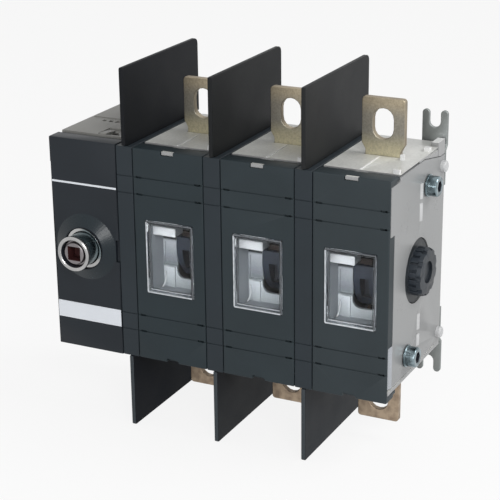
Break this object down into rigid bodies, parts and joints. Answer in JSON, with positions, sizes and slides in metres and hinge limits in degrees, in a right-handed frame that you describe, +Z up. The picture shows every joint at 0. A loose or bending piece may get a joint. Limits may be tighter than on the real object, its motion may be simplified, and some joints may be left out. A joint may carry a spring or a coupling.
{
  "type": "electrical disconnect switch",
  "caption": "Rotary disconnect switch with mechanism at the left, windowed poles, drilled terminal bars above and below, phase barriers and slotted back feet.",
  "frame": {"origin": "middle of the footprint, at the level of the lower edges of the three lower phase barriers", "axes": "+X to the right along the poles as the front is seen, +Y from the front covers to the mounting plate, +Z up"},
  "size_m": [0.1728, 0.0816, 0.1724],
  "materials": {
    "dark_cover": "fine satin moulding",
    "mechanism_cover": "fine satin moulding",
    "dark_holder": "fine satin moulding",
    "barrier": "matte sheet",
    "light_grey": "glass filled satin moulding",
    "clear_window": "clear, polished",
    "white_marking": "flat white",
    "terminal_plate": "dull plated",
    "contact_copper": "copper, plain",
    "zinc_steel": "zinc plated",
    "bright_steel": "bright plated",
    "black_moulding": "satin",
    "plate_steel": "plain steel"
  },
  "bodies": {
    "switch_body": {"mechanism_case": "light_grey", "mechanism_cover": "mechanism_cover", "marking_line": "white_marking", "marking_plate": "white_marking", "shaft_bush": "black_moulding", "spring_washer": "bright_steel", "bearing_plate": "plate_steel", "toggle_spring": "plate_steel", "barrier_holder_1": "dark_holder", "barrier_holder_2": "dark_holder", "barrier_holder_3": "dark_holder", "pole_case_1": "light_grey", "pole_case_2": "light_grey", "pole_case_3": "light_grey", "pole_cover_1": "dark_cover", "pole_cover_2": "dark_cover", "pole_cover_3": "dark_cover", "inspection_window_1": "clear_window", "inspection_window_2": "clear_window", "inspection_window_3": "clear_window", "terminal_upper_1": "terminal_plate", "terminal_upper_2": "terminal_plate", "terminal_upper_3": "terminal_plate", "terminal_lower_1": "terminal_plate", "terminal_lower_2": "terminal_plate", "terminal_lower_3": "terminal_plate", "phase_barrier_upper_1": "barrier", "phase_barrier_upper_2": "barrier", "phase_barrier_upper_3": "barrier", "phase_barrier_lower_1": "barrier", "phase_barrier_lower_2": "barrier", "phase_barrier_lower_3": "barrier", "arc_chute_upper_1": "plate_steel", "arc_chute_upper_2": "plate_steel", "arc_chute_upper_3": "plate_steel", "arc_chute_lower_1": "plate_steel", "arc_chute_lower_2": "plate_steel", "arc_chute_lower_3": "plate_steel", "end_plate": "light_grey", "tie_bolt_upper": "zinc_steel", "tie_bolt_lower": "zinc_steel", "mounting_foot_upper_left": "zinc_steel", "mounting_foot_upper_right": "zinc_steel", "mounting_foot_lower_left": "zinc_steel", "mounting_foot_lower_right": "zinc_steel"},
    "operating_shaft": {"operating_shaft": "zinc_steel", "shaft_socket": "bright_steel", "drive_gear": "plate_steel"},
    "contact_shaft": {"driven_gear": "plate_steel", "contact_rotor_1": "black_moulding", "contact_rotor_2": "black_moulding", "contact_rotor_3": "black_moulding", "moving_contact_1": "contact_copper", "moving_contact_2": "contact_copper", "moving_contact_3": "contact_copper", "shaft_link_1": "plate_steel", "shaft_link_2": "plate_steel", "shaft_link_3": "plate_steel", "coupling_end": "black_moulding"}
  },
  "joints": [
    {"name": "contact_turn", "type": "hinge", "parent": "switch_body", "child": "contact_shaft", "pos_m": [0, 0.00485, 0.0862], "axis": [1, 0, 0], "range_deg": [0, 90]},
    {"name": "shaft_turn", "type": "hinge", "parent": "switch_body", "child": "operating_shaft", "pos_m": [-0.06875, 0, 0.0862], "axis": [0, -1, 0], "range_deg": [0, 90]}
  ],
  "couplings": [
    {"joint": "shaft_turn", "follows": "contact_turn", "ratio": 1}
  ]
}
